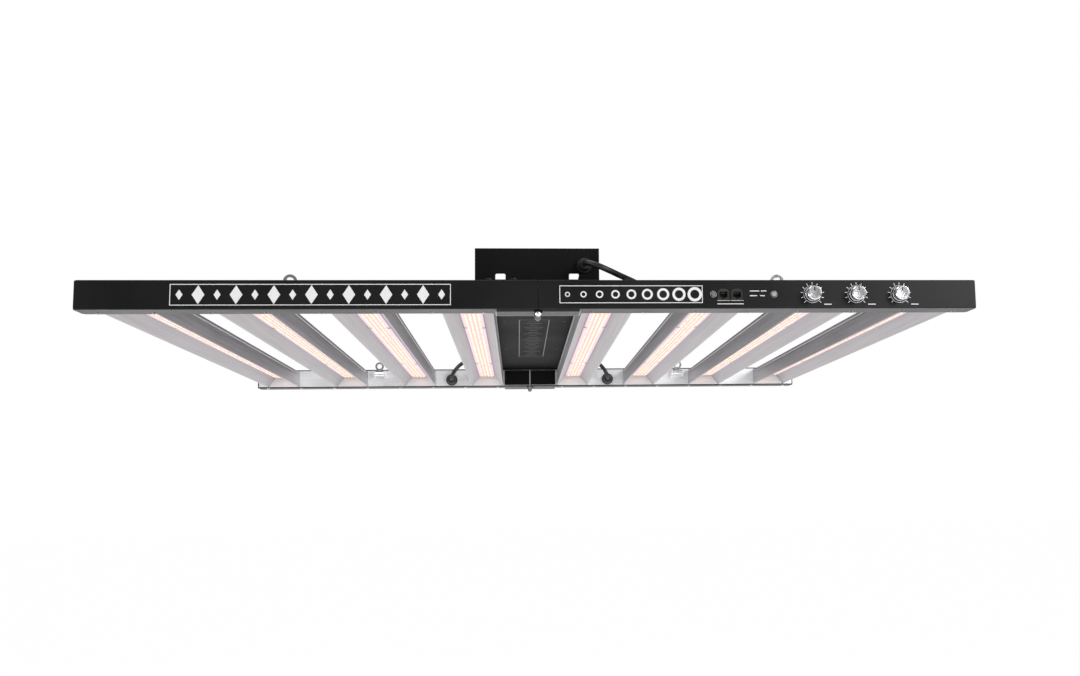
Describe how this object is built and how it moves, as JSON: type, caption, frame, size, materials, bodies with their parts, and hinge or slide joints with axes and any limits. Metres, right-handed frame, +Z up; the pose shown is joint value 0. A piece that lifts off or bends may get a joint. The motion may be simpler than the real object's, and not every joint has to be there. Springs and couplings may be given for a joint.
{
  "type": "led grow light",
  "caption": "Folding LED grow light: light bars between two hollow rails, hinged in the middle, with a driver spine on top and dimmer knobs in the front rail.",
  "frame": {"origin": "centre of the four hanging eyes, above the middle of the fold", "axes": "+X to the right across the bars seen from the control side, +Y from the control rail to the rear rail, +Z up"},
  "size_m": [1.1, 1.094, 0.0959],
  "materials": {
    "black_enamel": "satin",
    "bright_steel": "satin",
    "bar_aluminium": "satin anodised",
    "led_board": "white solder mask",
    "dark_steel": "satin",
    "plated_steel": "bright zinc",
    "driver_aluminium": "black anodised",
    "circuit_board": "solder mask",
    "black_plastic": "moulded nylon",
    "cable_jacket": "smooth jacket",
    "knob_metal": "turned",
    "clear_lens": "frosted",
    "grey_plastic": "moulded"
  },
  "bodies": {
    "left_wing": {"driver_board": "circuit_board", "driver_case": "driver_aluminium", "driver_end_caps": "driver_aluminium", "driver_leads": "cable_jacket", "front_bulkhead": "black_enamel", "front_hinge_left_leaf": "dark_steel", "front_hinge_pin": "plated_steel", "front_lead": "cable_jacket", "heat_sink_1": "bar_aluminium", "heat_sink_2": "bar_aluminium", "heat_sink_3": "bar_aluminium", "heat_sink_4": "bar_aluminium", "left_end_caps": "black_enamel", "left_fasteners": "bright_steel", "left_front_inner_plate": "bright_steel", "left_front_rail": "black_enamel", "left_glands": "black_plastic", "left_hanger_brackets": "bright_steel", "left_harness": "cable_jacket", "left_lead": "cable_jacket", "left_led_boards": "led_board", "left_rear_inner_plate": "bright_steel", "left_rear_rail": "black_enamel", "left_seam_plates": "dark_steel", "mains_inlet": "black_plastic", "rear_bulkhead": "black_enamel", "rear_hinge_left_leaf": "dark_steel", "rear_hinge_pin": "plated_steel", "right_lead": "cable_jacket", "spine_fasteners": "dark_steel", "spine_tray": "plated_steel"},
    "right_wing": {"right_front_rail": "black_enamel", "right_rear_rail": "black_enamel", "right_front_inner_plate": "bright_steel", "right_rear_inner_plate": "bright_steel", "right_end_caps": "black_enamel", "heat_sink_5": "bar_aluminium", "heat_sink_6": "bar_aluminium", "heat_sink_7": "bar_aluminium", "heat_sink_8": "bar_aluminium", "right_led_boards": "led_board", "right_fasteners": "bright_steel", "right_seam_plates": "dark_steel", "right_harness": "cable_jacket", "right_hanger_brackets": "bright_steel", "front_hinge_right_leaf": "dark_steel", "rear_hinge_right_leaf": "dark_steel", "right_glands": "black_plastic", "control_board": "circuit_board", "potentiometers": "plated_steel", "control_ports": "black_plastic", "status_light": "clear_lens"},
    "hanging_eye_left_front": {"hanging_eye_left_front": "plated_steel"},
    "hanging_eye_left_rear": {"hanging_eye_left_rear": "plated_steel"},
    "hanging_eye_right_front": {"hanging_eye_right_front": "plated_steel"},
    "hanging_eye_right_rear": {"hanging_eye_right_rear": "plated_steel"},
    "knob_1": {"knob_1": "knob_metal"},
    "knob_2": {"knob_2": "knob_metal"},
    "knob_3": {"knob_3": "knob_metal"},
    "mode_button": {"mode_button": "grey_plastic"}
  },
  "joints": [
    {"name": "fold", "type": "hinge", "parent": "left_wing", "child": "right_wing", "pos_m": [0, 0, -0.0467], "axis": [0, 1, 0], "range_deg": [0, 180], "deforming": ["front_lead", "right_lead"]},
    {"name": "eye_left_front_swing", "type": "hinge", "parent": "left_wing", "child": "hanging_eye_left_front", "pos_m": [-0.306, -0.4965, -0.016], "axis": [-1, 0, 0], "range_deg": [-25, 165]},
    {"name": "eye_left_rear_swing", "type": "hinge", "parent": "left_wing", "child": "hanging_eye_left_rear", "pos_m": [-0.306, 0.4965, -0.016], "axis": [1, 0, 0], "range_deg": [-25, 165]},
    {"name": "eye_right_front_swing", "type": "hinge", "parent": "right_wing", "child": "hanging_eye_right_front", "pos_m": [0.306, -0.4965, -0.016], "axis": [-1, 0, 0], "range_deg": [-25, 165]},
    {"name": "eye_right_rear_swing", "type": "hinge", "parent": "right_wing", "child": "hanging_eye_right_rear", "pos_m": [0.306, 0.4965, -0.016], "axis": [1, 0, 0], "range_deg": [-25, 165]},
    {"name": "knob_1_turn", "type": "hinge", "parent": "right_wing", "child": "knob_1", "pos_m": [0.341, -0.54, -0.024], "axis": [0, 1, 0], "range_deg": [-135, 135]},
    {"name": "knob_2_turn", "type": "hinge", "parent": "right_wing", "child": "knob_2", "pos_m": [0.397, -0.54, -0.024], "axis": [0, 1, 0], "range_deg": [-135, 135]},
    {"name": "knob_3_turn", "type": "hinge", "parent": "right_wing", "child": "knob_3", "pos_m": [0.452, -0.54, -0.024], "axis": [0, 1, 0], "range_deg": [-135, 135]},
    {"name": "mode_button_press", "type": "slide", "parent": "right_wing", "child": "mode_button", "axis": [0, 1, 0], "range_m": [0, 0.001], "stiffness_N_per_m": 300, "springref_m": -0.002}
  ]
}
